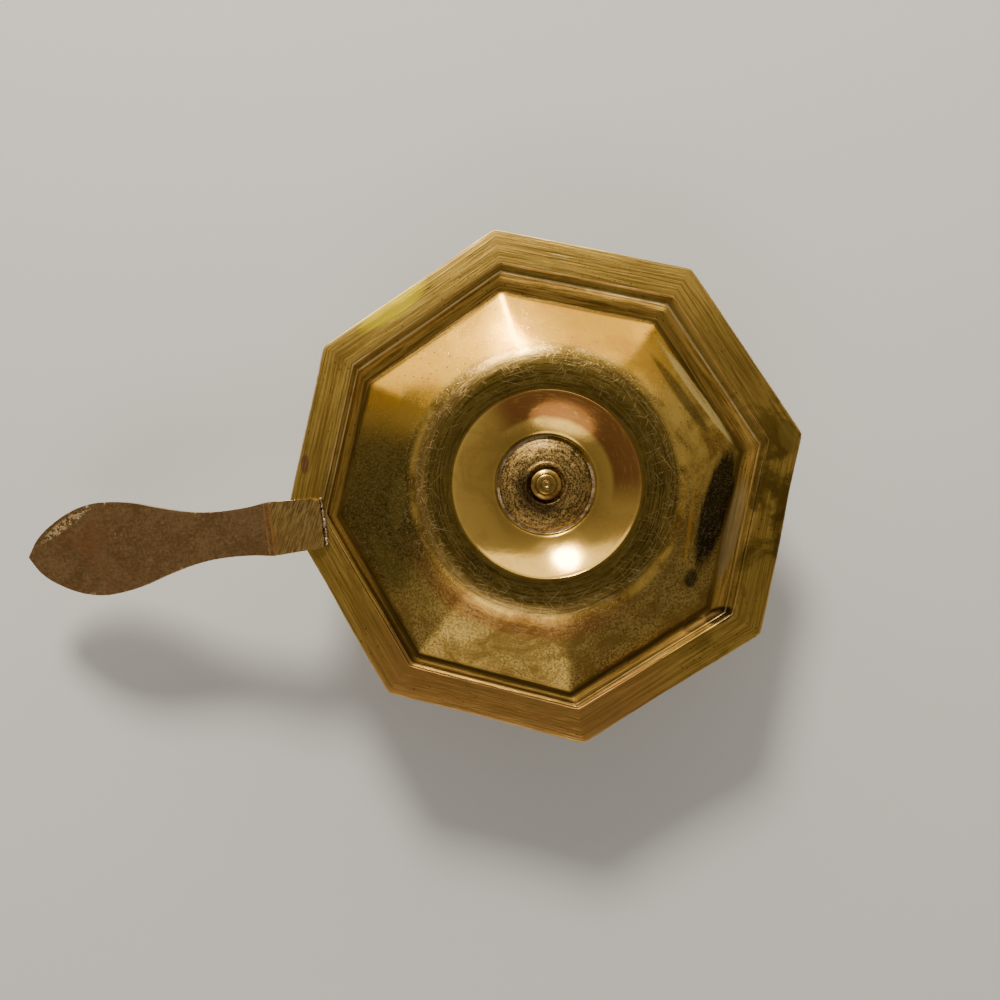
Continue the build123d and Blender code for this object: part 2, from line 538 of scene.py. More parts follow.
    def toward(self, lathe: Value, azimuth: float) -> bpy.types.NodeSocket:
        """Cosine of the angle round the axis between a place and a direction.

        Args:
            lathe: The stored lathe coordinate.
            azimuth: The direction, in degrees.

        Returns:
            The cosine.
        """
        turn = math.radians(azimuth)
        ahead = (math.cos(turn) / LATHE_R, math.sin(turn) / LATHE_R, 0.0)
        node = self.add("VectorMath", {0: lathe, 1: ahead}, operation="DOT_PRODUCT")
        return node.outputs["Value"]

    def bump(
        self, height: Value, depth_mm: float, below: Value | None = None
    ) -> bpy.types.NodeSocket:
        """Bends the normal as a relief would.

        Args:
            height: The relief, from 0 to 1.
            depth_mm: Its real depth.
            below: A normal that this one is laid over.

        Returns:
            The bent normal.
        """
        inputs: dict[object, Value] = {
            "Height": height, "Distance": depth_mm * MM, "Strength": 1.0
        }
        if below is not None:
            inputs["Normal"] = below
        return self.add("Bump", inputs).outputs["Normal"]

    def finish(
        self, colour: Value, roughness: Value, normal: Value | None, metal: Value = 1.0
    ) -> bpy.types.Material:
        """Connects the results to the surface.

        Args:
            colour: Base colour.
            roughness: Roughness.
            normal: Bent normal.
            metal: Metallic share.

        Returns:
            The finished material.
        """
        self.plug(self.surface.inputs["Base Color"], colour)
        self.plug(self.surface.inputs["Roughness"], roughness)
        self.plug(self.surface.inputs["Metallic"], metal)
        if normal is not None:
            self.plug(self.surface.inputs["Normal"], normal)
        return self.material


@dataclass(frozen=True)
class TonePatch:
    """A patch of a different tone on the brass.

    Attributes:
        centre: Its middle, in mm from the axis.
        heading: Direction of its long way, in degrees.
        half: Half its length and half its width, in mm.
        tone: Its colour.
        strength: How much of that colour it has.
    """

    centre: tuple[float, float]
    heading: float
    half: tuple[float, float]
    tone: str
    strength: float

    def mask(self, shader: Shader, place: Value, fray: Value) -> bpy.types.NodeSocket:
        """One inside the patch and nothing outside, with a frayed edge.

        Args:
            shader: The material's shader.
            place: Object position.
            fray: Noise that breaks up the edge.

        Returns:
            The mask, times the stain's strength.
        """
        turn = math.radians(self.heading)
        x, y = self.centre[0] * MM, self.centre[1] * MM
        shift = (
            -(x * math.cos(turn) + y * math.sin(turn)) / (self.half[0] * MM),
            -(y * math.cos(turn) - x * math.sin(turn)) / (self.half[1] * MM),
            0.0,
        )
        turned = shader.stretch(place, (1.0, 1.0, 0.0), (0.0, 0.0, -self.heading))
        scale = (per_feature(self.half[0]), per_feature(self.half[1]), 0.0)
        local = shader.stretch(turned, scale, shift=shift)
        away = shader.length(local, (0.0, 0.0, 0.0))
        away = shader.math("ADD", away, shader.math("MULTIPLY", fray, 1.2))
        return shader.ramp(away, 1.35, 1.70, self.strength, 0.0)


STAINS_AND_HIGHLIGHTS = (
    # On the rim: a painted highlight of bright yellow metal, and a purple heat stain by the tab.
    TonePatch((-32.9, 52.2), 27.5, (11.0, 3.0), "#FFE038", 0.95),
    TonePatch((-17.0, 59.0), 27.5, (7.0, 1.6), "#E3BC55", 0.5),
    TonePatch((-62.0, 14.0), 80.0, (2.6, 1.1), "#7A4046", 0.55),
    # Spots of dirt, and a near-black patch beside one mitre with lighter streaks round it.
    TonePatch((34.2, -29.7), 60.0, (2.6, 2.0), "#2A2210", 0.80),
    TonePatch((40.2, -40.4), 16.0, (4.2, 2.0), "#181008", 0.92),
    TonePatch((33.9, -42.2), 20.0, (4.0, 1.7), "#3C2B16", 0.75),
    TonePatch((43.4, -12.2), 66.5, (17.5, 4.2), "#17130A", 0.93),
    TonePatch((35.5, -15.4), 75.0, (11.5, 0.6), "#C98E2C", 0.45),
    TonePatch((47.6, -18.1), 69.0, (14.5, 1.9), "#B39A68", 0.60),
    # Thin film on the facets by the handle, and on the rim opposite.
    TonePatch((-38.5, 1.0), 75.0, (7.0, 2.6), "#8E7C3C", 0.40),
    TonePatch((-43.5, -14.5), 112.0, (8.5, 3.2), "#6E5D28", 0.55),
    TonePatch((64.5, 3.5), 100.0, (4.6, 2.4), "#957D3E", 0.60),
    TonePatch((59.5, -20.5), 80.0, (9.0, 2.2), "#5C4B20", 0.60),
    # Rubbed bright beside the moulding, and small marks along the top.
    TonePatch((43.0, 18.4), -61.7, (16.0, 1.3), "#FFE48E", 0.85),
    TonePatch((38.8, 17.6), -61.7, (13.0, 1.6), "#5D4C22", 0.70),
    TonePatch((18.6, 49.3), 0.0, (1.1, 0.9), "#D5B366", 0.60),
    TonePatch((12.2, 58.9), 164.0, (2.2, 0.6), "#E9CC7A", 0.65),
)


@dataclass(frozen=True)
class PanBrass:
    """Old cast and turned brass that is no longer lacquered.

    The eye gets a warm gold where it has been rubbed, an olive-brown film where it hasn't,
    file marks along the rim, turning marks round the foot, copper-coloured tarnish on one
    side of the rim, a few stains, and a haze of fine pale scratches. Over these lie painted
    highlights on the facets, rim lines, arrises and one rim patch towards the light, painted
    shade on the facets, cove and funnel away from it, and painted shade in the valley.
    """

    rubbed: str = "#E0B658"
    film: str = "#A07E35"
    brown: str = "#67471B"
    copper: str = "#B4794A"
    dirt: str = "#2C1F0D"
    pale: str = "#E6C887"

    def build(self) -> bpy.types.Material:
        """Builds the material.

        Returns:
            The material.
        """
        s = Shader("aged_cast_brass")
        place = s.point()
        lathe = s.attribute("lathe")
        _, _, reach = s.split(lathe)
        both = s.both

        def zone(part: Zone) -> bpy.types.NodeSocket:
            """One in a band of the underside and nothing outside it."""
            return s.band(reach, *(edge * MM for edge in part.value))

        rim = s.ramp(reach, 0.0538, 0.0549)
        cove = zone(Zone.COVE)
        facet = zone(Zone.FACET)
        crest = zone(Zone.CREST)
        funnel = zone(Zone.FUNNEL)
        arris = s.highest(
            zone(Zone.OUTER_ARRIS), zone(Zone.INNER_ARRIS), zone(Zone.COVE_ARRIS)
        )

        # Tarnish, in several sizes of cloud.
        broad = s.noise(place, 38.0, 3.0, 0.5, 0.6)
        patch = s.noise(s.stretch(place, (1, 1, 1), shift=(0.21, 0.4, 0.1)), 11.0, 4.0, 0.6, 0.8)
        grain = s.noise(s.stretch(place, (1, 1, 1), shift=(0.5, 0.1, 0.7)), 0.62, 3.0, 0.75)
        cloud = s.blend(broad, patch)
        filmed = s.ramp(cloud, 0.38, 0.62)
        browned = s.ramp(s.total(patch, both(grain, 0.25)), 0.60, 0.78)
        grained = s.ramp(grain, 0.42, 0.60)
        specks = s.ramp(s.cells(place, 1.7), 0.10, 0.22, 1.0, 0.0)
        specks = both(specks, s.ramp(s.noise(place, 16.0, 2.0), 0.45, 0.62))

        # Marks of the file and the lathe, which follow the shape round.
        filed = s.noise(s.stretch(lathe, (0.02, 0.02, 1.0)), 0.42, 3.0, 0.7)
        lines = s.stretch(lathe, (0.03, 0.03, 1.0), shift=(0.4, 0.1, 0.3))
        lines = s.noise(lines, 0.44, 4.0, 0.75)
        wide = s.stretch(lathe, (0.16, 0.16, 1.0), shift=(0.1, 0.3, 0.2))
        wide = s.noise(wide, 4.5, 3.0, 0.6)
        turned = s.noise(s.stretch(lathe, (0.02, 0.02, 1.0)), 0.42, 3.0, 0.6)
        rubs = s.stretch(lathe, (0.08, 0.08, 1.0), shift=(0.7, 0.2, 0.5))
        rubs = s.ramp(s.noise(rubs, 0.42, 2.0, 0.5), 0.56, 0.66)

        # Fine scratches from many years of rubbing.
        fine = s.haze(place, (
            (12.0, 3.0, 0.07, 0.24), (64.0, 2.2, 0.07, 0.22), (118.0, 3.2, 0.08, 0.20),
            (161.0, 2.6, 0.07, 0.24), (38.0, 4.5, 0.08, 0.14),
        ))

        # Painted shade: the facets away from the light are painted darker with a granular film,
        # and the left slope darker still; the facets towards it get a painted highlight of gold.
        shaded = both(facet, s.ramp(s.toward(lathe, 82.0), -0.35, 0.45, 1.0, 0.0))
        granular = s.mix(grained, "#A3884C", "#57451F")
        granular = s.mix(s.ramp(patch, 0.46, 0.60), granular, "#7C6330")
        away = both(zone(Zone.SLOPE), s.ramp(s.toward(lathe, 176.0), 0.80, 0.95))
        # Painted highlight: gold on the facets towards the light, with orange patches in it.
        facet_highlight = both(facet, s.ramp(s.toward(lathe, 90.0), 0.35, 0.75))
        highlight_blush = both(facet_highlight, s.ramp(s.noise(place, 9.0, 3.0, 0.6), 0.50, 0.66))
        # The crest is dark olive between its turning lines, and reddish on one side.
        olive = s.mix(s.ramp(turned, 0.42, 0.60), "#8A7435", "#463A17")
        ruddy = both(zone(Zone.RUDDY), s.ramp(s.toward(lathe, 247.0), 0.45, 0.9))
        # The rim is streaked along its file marks, and copper-coloured on one side. Its lines are
        # painted brighter gold towards the light, a painted highlight, and its mottle is darker on
        # the right, partly patina and partly painted shade.
        mottle_and_shade = s.ramp(s.toward(lathe, 340.0), 0.72, 0.95)
        golden = s.ramp(s.toward(lathe, 88.0), 0.35, 0.85)
        coppered = s.ramp(s.toward(lathe, 252.0), 0.60, 0.92)
        streaked = s.layers(s.mix(s.ramp(lines, 0.40, 0.60), "#DDB65C", "#957536"), (
            (s.ramp(wide, 0.44, 0.62, 0.0, 0.45), "#A5823B"),
            (both(coppered, s.ramp(lines, 0.35, 0.65, 0.70, 0.40)), self.copper),
            (both(mottle_and_shade, s.ramp(patch, 0.42, 0.60)), "#6A5524"),
            (both(golden, s.ramp(lines, 0.44, 0.56, 0.85, 0.15)), "#F0C662"),
        ))
        coved = s.mix(s.ramp(lines, 0.40, 0.62), "#D2A552", "#7A5A22")
        # Painted shadow: the cove is painted near-black on its lower side.
        cove_shadow_side = both(cove, s.ramp(s.toward(lathe, 255.0), 0.2, 0.8))
        # The funnel is polished; on the side away from the light it is painted red-brown, a
        # painted dark reflection.
        funnel_shade = both(zone(Zone.FUNNEL_SHADE), s.ramp(s.toward(lathe, 52.0), 0.15, 0.62))
        # Scratches show pale where the ring is rubbed most, and paler towards the left as a
        # painted sheen.
        side = s.ramp(s.toward(lathe, 195.0), -0.2, 0.8, 0.15, 1.0)
        worn = both(zone(Zone.WORN_AND_SHEEN), side)
        worn = both(worn, s.ramp(s.highest(rubs, fine), 0.0, 1.0, 0.32, 0.92))
        # Painted highlight on the worn arrises, strongest on the side towards the light.
        arris_wear_and_glint = both(s.ramp(s.toward(lathe, 95.0), -0.6, 0.5, 0.22, 1.0),
                   s.ramp(patch, 0.40, 0.60, 1.0, 0.45))
        frayed = s.blend(patch, lines)

        film = s.mix(both(grained, 0.7), self.film, self.brown)
        colour = s.layers(s.mix(filmed, self.rubbed, film), (
            (both(browned, 0.45), self.brown),
            (both(shaded, 0.80), granular),
            (both(away, 0.80), s.mix(grained, "#65552A", "#37300F")),
            (both(facet_highlight, 0.80), "#E2A830"),
            (both(highlight_blush, 0.45), "#CB8439"),
            (both(crest, 0.80), olive),
            (both(ruddy, s.ramp(rubs, 0.0, 1.0, 0.45, 0.8)), "#7E4220"),
            (both(rim, 0.85), streaked),
            (both(cove, 0.80), coved),
            (both(cove_shadow_side, 0.75), "#332610"),
            # The valley is painted dark: partly dirt, partly painted shade in the recess.
            (both(zone(Zone.VALLEY), 0.60), self.dirt),
            (both(specks, 0.5), self.dirt),
            (both(funnel, 0.65), "#DDB25A"),
            (both(funnel_shade, s.ramp(rubs, 0.0, 1.0, 0.85, 0.65)), "#87502B"),
            *((tone_patch.mask(s, place, frayed), tone_patch.tone) for tone_patch in STAINS_AND_HIGHLIGHTS),
            (worn, "#DDB06A"),
            (both(both(zone(Zone.HAZE), fine), 0.72), self.pale),
            (both(both(facet, fine), 0.26), self.pale),
            (both(both(crest, rubs), 0.35), "#C2A15C"),
            (both(arris, arris_wear_and_glint), "#FFE0A0"),
        ))

        rough = s.total(
            s.ramp(cloud, 0.35, 0.65, 0.20, 0.30), both(rim, 0.13), both(cove, 0.08),
            both(cove_shadow_side, 0.18), both(shaded, 0.12), both(crest, 0.06),
            both(both(fine, zone(Zone.SHOULDER)), 0.12), both(both(browned, facet), 0.08),
            both(funnel, -0.08),
        )

        # Each relief, its depth in mm, and how much of it the polished funnel keeps.
        grain_depth = both(grain, s.ramp(shaded, 0.0, 1.0, 0.30, 1.0))
        normal = s.bump(patch, 0.04)
        normal = s.bump(both(filed, s.highest(rim, cove)), 0.085, normal)
        normal = s.bump(both(turned, s.total(crest, both(funnel, 0.10))), 0.03, normal)
        for relief, depth, kept in (
            (s.math("SUBTRACT", 1.0, fine), 0.004, 0.15), (grain_depth, 0.035, 0.10)
        ):
            normal = s.bump(both(relief, s.ramp(funnel, 0.0, 1.0, 1.0, kept)), depth, normal)
        return s.finish(colour, rough, normal)


@dataclass(frozen=True)
class HandleBrass:
    """Rolled brass strip, handled until it is brown, with a filed tab that is painted brighter,
    partly its own tone and partly painted light.

    The eye gets a dull brown blade, redder at its leaf, with hairlines and pale specks; a
    golden-olive tab with brush marks; two copper-coloured painted highlights in the scored
    bend; edges painted brighter, partly worn metal and partly painted highlight; and a pale
    crust along one of them.
    """

    blade: str = "#AB885C"
    dark: str = "#80613C"
    red: str = "#9C6038"
    tab: str = "#C3A262"
    score_glint_tone: str = "#CF8E4C"
    edge: str = "#D9BC86"

    def build(self) -> bpy.types.Material:
        """Builds the material.

        Returns:
            The material.
        """
        s = Shader("patinated_brass_strip")
        both = s.both
        place = s.point()
        along, _, _ = s.split(place)
        _, _, facing = s.split(s.attribute("facing"))
        # Edges are painted brighter: partly worn metal, partly painted highlight.
        sides = s.ramp(facing, 0.60, 0.92, 1.0, 0.0)
        tabbed = s.ramp(along, -(BEND_X - 0.1) * MM, -(BEND_X - 0.7) * MM)
        scored = s.highest(
            s.band(along, -(BEND_X + 1.5) * MM, -(BEND_X + 1.1) * MM, 0.0002),
            s.band(along, -(BEND_X + 0.2) * MM, -(BEND_X - 0.3) * MM, 0.0002),
        )
        cloud = s.noise(place, 9.0, 4.0, 0.6, 0.4)
        warm = s.stretch(place, (1, 1, 1), shift=(0.3, 0.8, 0.1))
        warm = s.noise(warm, 17.0, 3.0, 0.6, 0.5)
        grain = s.noise(place, 0.8, 3.0, 0.7)
        brushed = s.stretch(place, (1, 1, 1), (0.0, 0.0, -62.0))
        brushed = s.noise(s.stretch(brushed, (0.10, 1.0, 0.5)), 0.30, 3.0, 0.6)
        fine = s.haze(place, (
            (4.0, 5.0, 0.08, 0.26), (97.0, 3.0, 0.07, 0.16), (171.0, 5.0, 0.08, 0.24),
            (35.0, 3.0, 0.07, 0.18),
        ))

        leaf = s.ramp(along, -0.108, -0.122)
        # The tab is painted lighter than the blade: partly its own filed tone, partly painted
        # light.
        filed_and_lit_tab = s.layers(s.mix(s.ramp(brushed, 0.40, 0.60), self.tab, "#86693A"), (
            (both(s.ramp(cloud, 0.46, 0.62), 0.5), "#8A6A38"),
        ))
        # Painted highlight: copper-coloured glints along the two lines of the scored bend.
        score_glint = both(scored, s.ramp(s.noise(place, 1.6, 2.0), 0.34, 0.58, 0.25, 0.9))
        # Pale crust in the pits along one edge of the leaf, and a few specks elsewhere.
        crusted = TonePatch((-131.4, 7.5), 27.0, (10.5, 1.5), "#C6B184", 1.0)
        pits = s.ramp(s.noise(place, 1.3, 3.0, 0.7), 0.47, 0.56)
        crust = both(crusted.mask(s, place, cloud), pits)
        specks = both(s.ramp(s.cells(place, 2.6), 0.07, 0.13, 1.0, 0.0),
                      s.ramp(s.noise(place, 8.0, 2.0), 0.54, 0.62))
        specks = both(specks, s.ramp(along, -0.082, -0.092))
        tone = s.ramp(s.blend(cloud, grain, 0.55), 0.38, 0.62)
        colour = s.layers(s.mix(tone, self.blade, self.dark), (
            (both(both(s.ramp(warm, 0.46, 0.62), leaf), 0.40), self.red),
            (both(fine, 0.30), "#CBAA76"),
            (tabbed, filed_and_lit_tab),
            (score_glint, self.score_glint_tone),
            (both(crust, 0.80), crusted.tone),
            (both(specks, 0.60), "#CDBB93"),
            (both(sides, 0.80), self.edge),
        ))

        rough = s.total(s.ramp(cloud, 0.35, 0.65, 0.36, 0.46), both(fine, 0.06), both(crust, 0.20))
        normal = s.bump(cloud, 0.03)
        for relief, depth in (
            (crust, 0.06), (both(brushed, tabbed), 0.007), (s.math("SUBTRACT", 1.0, fine), 0.004),
            (grain, 0.012),
        ):
            normal = s.bump(relief, depth, normal)
        return s.finish(colour, rough, normal)


@dataclass(frozen=True)
class RoughCastBrass:
    """Brass left as it came from the sand, faced off once on the lathe.

    The eye gets a dull granular brown-gold with coarse turning rings and pale crumbs.
    """

    high: str = "#B8985A"
    low: str = "#4E3A1E"

    def build(self) -> bpy.types.Material:
        """Builds the material.

        Returns:
            The material.
        """
        s = Shader("rough_cast_brass")
        place = s.point()
        lathe = s.attribute("lathe")
        _, _, reach = s.split(lathe)
        grit = s.noise(place, 0.42, 3.0, 0.7)
        lumps = s.noise(place, 2.6, 3.0, 0.6, 0.4)
        rings = s.noise(s.stretch(lathe, (0.04, 0.04, 1.0)), 0.55, 2.0, 0.5)
        # Pale crumbs, most of them along the broken part of the edge.
        broken = s.both(s.band(reach, 0.0102, 0.0122, 0.0006),
                        s.ramp(s.toward(lathe, 32.0), 0.4, 0.9))
        crumbs = s.both(s.ramp(s.cells(place, 1.0), 0.14, 0.30, 1.0, 0.0),
                        s.highest(broken, s.both(s.ramp(lumps, 0.56, 0.66), 0.5)))
        # The hollow beside the collar is dark on the side away from the light.
        dim = s.both(s.ramp(reach, 0.0062, 0.0098, 1.0, 0.0),
                     s.ramp(s.toward(lathe, 215.0), -0.2, 0.7))
        tone = s.ramp(s.blend(grit, rings, 0.7), 0.40, 0.60)
        colour = s.layers(s.mix(tone, self.low, self.high), (
            (s.both(dim, 0.75), "#2C1C14"), (s.both(crumbs, 0.85), "#E2D2AA")
        ))
        normal = s.bump(grit, 0.05, s.bump(rings, 0.05, s.bump(lumps, 0.05)))
        return s.finish(colour, s.ramp(grit, 0.35, 0.65, 0.36, 0.58), normal)


@dataclass(frozen=True)
class TurnedBrass:
    """Brass turned on a lathe and dulled by handling.

    The eye gets close rings of tool marks that catch the light, over a yellow-brown metal.
    """

    high: str = "#CBA65A"
    low: str = "#7B5C2C"

    def build(self) -> bpy.types.Material:
        """Builds the material.

        Returns:
            The material.
        """
        s = Shader("turned_brass")
        place = s.point()
        lathe = s.attribute("lathe")
        cloud = s.noise(place, 7.0, 4.0, 0.6, 0.5)
        rings = s.noise(s.stretch(lathe, (0.02, 0.02, 1.0)), 0.20, 3.0, 0.6)
        grit = s.noise(place, 0.7, 3.0, 0.6)
        fine = s.scratches(place, 75.0, 6.0, 0.09, 0.4)
        tone = s.ramp(s.blend(cloud, grit, 0.7), 0.40, 0.62)
        rough = s.total(s.ramp(cloud, 0.35, 0.65, 0.22, 0.36), s.both(fine, 0.08))
        normal = s.bump(grit, 0.012, s.bump(rings, 0.020))
        return s.finish(s.mix(tone, self.high, self.low), rough, normal)


@dataclass(frozen=True)
class SoftSolder:
    """Old tin-lead solder.

    The eye gets a lumpy metal, dull, pitted and stained buff, with brown dirt in its hollows.
    """

    bright: str = "#C6AF8C"
    dull: str = "#7D6748"

    def build(self) -> bpy.types.Material:
        """Builds the material.

        Returns:
            The material.
        """
        s = Shader("soft_solder")
        place = s.point()
        lumps = s.noise(place, 1.8, 3.0, 0.6)
        grit = s.noise(place, 0.35, 3.0, 0.65)
        dirt = s.ramp(s.noise(place, 3.0, 3.0), 0.50, 0.64)
        colour = s.mix(s.ramp(lumps, 0.40, 0.62), self.bright, self.dull)
        colour = s.mix(s.both(dirt, 0.45), colour, "#5A4630")
        normal = s.bump(grit, 0.04, s.bump(lumps, 0.12))
        return s.finish(colour, s.ramp(grit, 0.35, 0.65, 0.38, 0.60), normal, 0.85)


@dataclass(frozen=True)
class FloorPaint:
    """Matt off-white studio floor, with only a trace of unevenness."""

    tone: str = "#E2E1DF"

    def build(self) -> bpy.types.Material:
        """Builds the material.

        Returns:
            The material.
        """
        s = Shader("matt_floor_paint")
        cloud = s.noise(s.point(), 420.0, 2.0, 0.5)
        colour = s.mix(s.ramp(cloud, 0.3, 0.7), self.tone, "#DEDDDA")
        return s.finish(colour, 0.85, None, 0.0)


# --------------------------------------------------------------------------
# Mesh building
# --------------------------------------------------------------------------


@dataclass(frozen=True)
class Ring:
    """One ring of a swept section.

    Attributes:
        reach: Distance from the axis, square to a side, in millimetres.
        height: Height above the lip.
        roundness: 0 for the hand-cut octagon, 1 for a circle.
        arris: Width of the small bevel worn on this ring, or 0.
    """

    reach: float
    height: float
    roundness: float = 1.0
    arris: float = 0.0

    def radius(self, angle: float) -> float:
        """Returns the distance from the axis at an angle.

        Args:
            angle: Angle round the axis, in radians.

        Returns:
            The distance, in millimetres.
        """
        sector = Sector.at(angle)
        to_corner = sector.span / 2 - sector.off_middle(angle)
        corner = max(0.0, 1.0 - to_corner / CORNER_WORN)
        flat = sector.nearness(angle) - CORNER_BLUNT * corner * corner
        return self.reach * ((1.0 - self.roundness) * flat + self.roundness)


def between(start: Ring, end: Ring, steps: int) -> list[Ring]:
    """Rings on the straight lines from one ring to another, both included.

    Args:
        start: First ring.
        end: Last ring.
        steps: Number of spans.

    Returns:
        The rings.
    """
    rings = []
    for k in range(steps + 1):
        t = k / steps
        reach = (1 - t) * start.reach + t * end.reach
        round_part = (1 - t) * start.reach * start.roundness + t * end.reach * end.roundness
        height = (1 - t) * start.height + t * end.height
        arris = start.arris if k == 0 else end.arris if k == steps else 0.0
        rings.append(Ring(reach, height, round_part / reach if reach else 1.0, arris))
    return rings


def bowed(
    start: tuple[float, float],
    out: tuple[float, float],
    back: tuple[float, float],
    end: tuple[float, float],
    steps: int,
    roundness: float = 1.0,
) -> list[Ring]:
    """Rings along a Bezier section.

    Args:
        start: First reach and height.
        out: First handle.
        back: Second handle.
        end: Last reach and height.
        steps: Number of spans.
        roundness: Roundness of every ring.

    Returns:
        The rings, both ends included.
    """
    points = geometry.interpolate_bezier(
        Vector(start), Vector(out), Vector(back), Vector(end), steps + 1
    )
    return [Ring(p.x, p.y, roundness) for p in points]


def ring_edges(verts: Sequence[bmesh.types.BMVert]) -> list[bmesh.types.BMEdge]:
    """The edges whose ends are both among some vertices.

    Args:
        verts: The vertices.

    Returns:
        The edges, each once.
    """
    chosen = set(verts)
    return list({e for v in verts for e in v.link_edges if set(e.verts) <= chosen})


def sweep(rings: Sequence[Ring], segments: int, closed: bool) -> bmesh.types.BMesh:
    """Extrudes a circle of edges through a list of rings, then bevels the arrises.

    Args:
        rings: The rings, in order.
        segments: Edges round each ring.
        closed: Whether the last ring is joined to the first.

    Returns:
        The new mesh, in millimetres.
    """
    bm = bmesh.new()
    verts = bmesh.ops.create_circle(bm, cap_ends=False, segments=segments, radius=1.0)["verts"]
    per_side = segments // len(CORNERS)
    for v in verts:
        step = round((math.atan2(v.co.y, v.co.x) % math.tau) / math.tau * segments) % segments
        sector = Sector.every()[step // per_side]
        angle = sector.start + sector.span * (step % per_side) / per_side
        v.co = (math.cos(angle), math.sin(angle), 0.0)
    first = verts
    worn: dict[float, list[bmesh.types.BMEdge]] = {}
    for index, ring in enumerate(rings):
        if index:
            made = bmesh.ops.extrude_edge_only(bm, edges=ring_edges(verts))["geom"]
            verts = [g for g in made if isinstance(g, bmesh.types.BMVert)]
        before = drift(rings[index - 1].reach) if index else Vector((0.0, 0.0, 0.0))
        move = drift(ring.reach)
        for v in verts:
            angle = math.atan2(v.co.y - before.y, v.co.x - before.x)
            radius = max(ring.radius(angle), 1e-5)
            v.co = (
                move.x + radius * math.cos(angle), move.y + radius * math.sin(angle),
                ring.height,
            )
        if ring.arris:
            worn.setdefault(ring.arris, []).extend(ring_edges(verts))
    if closed:
        bmesh.ops.bridge_loops(bm, edges=ring_edges(first) + ring_edges(verts))
    for width, edges in worn.items():
        bmesh.ops.bevel(
            bm, geom=edges, offset=width, offset_type="OFFSET", segments=3, profile=0.5,
            affect="EDGES", material=-1, clamp_overlap=True,
        )
    bmesh.ops.remove_doubles(bm, verts=bm.verts, dist=2e-4)
    bmesh.ops.recalc_face_normals(bm, faces=bm.faces)
    return bm


def weather(
    bm: bmesh.types.BMesh, depth: float, size: float, seed: float,
    share: Callable[[Vector], float] = lambda co: 1.0,
) -> None:
    """Moves a surface in and out a little along its normals.

    Args:
        bm: The mesh.
        depth: Greatest movement.
        size: Size of the hills and hollows.
        seed: Shifts the pattern.
        share: How much of the depth each place gets.
    """
    bm.normal_update()
    moves = []
    for v in bm.verts:
        lift = noise.noise((v.co + Vector((seed, seed * 1.7, seed * 0.6))) / size)
        moves.append(v.normal * (lift * depth * share(v.co)))
    for v, move in zip(bm.verts, moves):
        v.co += move


@dataclass
class Piece:
    """A mesh piece of the object and what it stands for.

    Attributes:
        name: Name of the object.
        node: CAD node that it replaces.
        body: Body that it rides on.
        slot: Material slot of the record; not used.
        crease: Angle above which an edge is shown sharp, in degrees.
    """

    name: str
    node: str
    body: Body
    slot: str
    crease: float = 38.0

    def finish(self, bm: bmesh.types.BMesh, material: bpy.types.Material) -> bpy.types.Object:
        """Turns the mesh into an object in metres, inside its CAD node's box.

        Args:
            bm: The mesh, in millimetres.
            material: The piece's material.

        Returns:
            The new object.
        """
        low, high = (Vector(corner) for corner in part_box(self.node))
        bmesh.ops.scale(bm, vec=(MM, MM, MM), verts=bm.verts)
        for v in bm.verts:
            v.co = [min(max(v.co[k], low[k]), high[k]) for k in range(3)]
        for face in bm.faces:
            face.smooth = True
        for edge in bm.edges:
            if len(edge.link_faces) == 2:
                edge.smooth = edge.calc_face_angle(0.0) < math.radians(self.crease)
        mesh = bpy.data.meshes.new(self.name)
        bm.to_mesh(mesh)
        bm.free()
        self.store_lathe(mesh)
        mesh.materials.append(material)
        made = bpy.data.objects.new(self.name, mesh)
        bpy.context.scene.collection.objects.link(made)
        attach(made, self.body.value)
        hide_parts(self.node)
        LOG.info("built %s: %d faces", self.name, len(mesh.polygons))
        return made

    @staticmethod
    def store_lathe(mesh: bpy.types.Mesh) -> None:
        """Stores a coordinate that goes round the axis, for file and lathe marks.

        Args:
            mesh: The mesh to store it on.
        """
        layer = mesh.attributes.new("lathe", "FLOAT_VECTOR", "POINT")
        for vertex, item in zip(mesh.vertices, layer.data):
            reach = math.hypot(vertex.co.x, vertex.co.y) / MM
            for _ in range(6):
                x = vertex.co.x / MM - drift(reach).x
                y = vertex.co.y / MM - drift(reach).y
                angle = math.atan2(y, x)
                flat = smooth(math.hypot(x, y), SHOULDER, VALLEY)
                nearness = Sector.at(angle).nearness(angle)
                reach = math.hypot(x, y) * (1.0 - flat + flat / nearness)
            item.vector = (LATHE_R * math.cos(angle), LATHE_R * math.sin(angle), reach * MM)


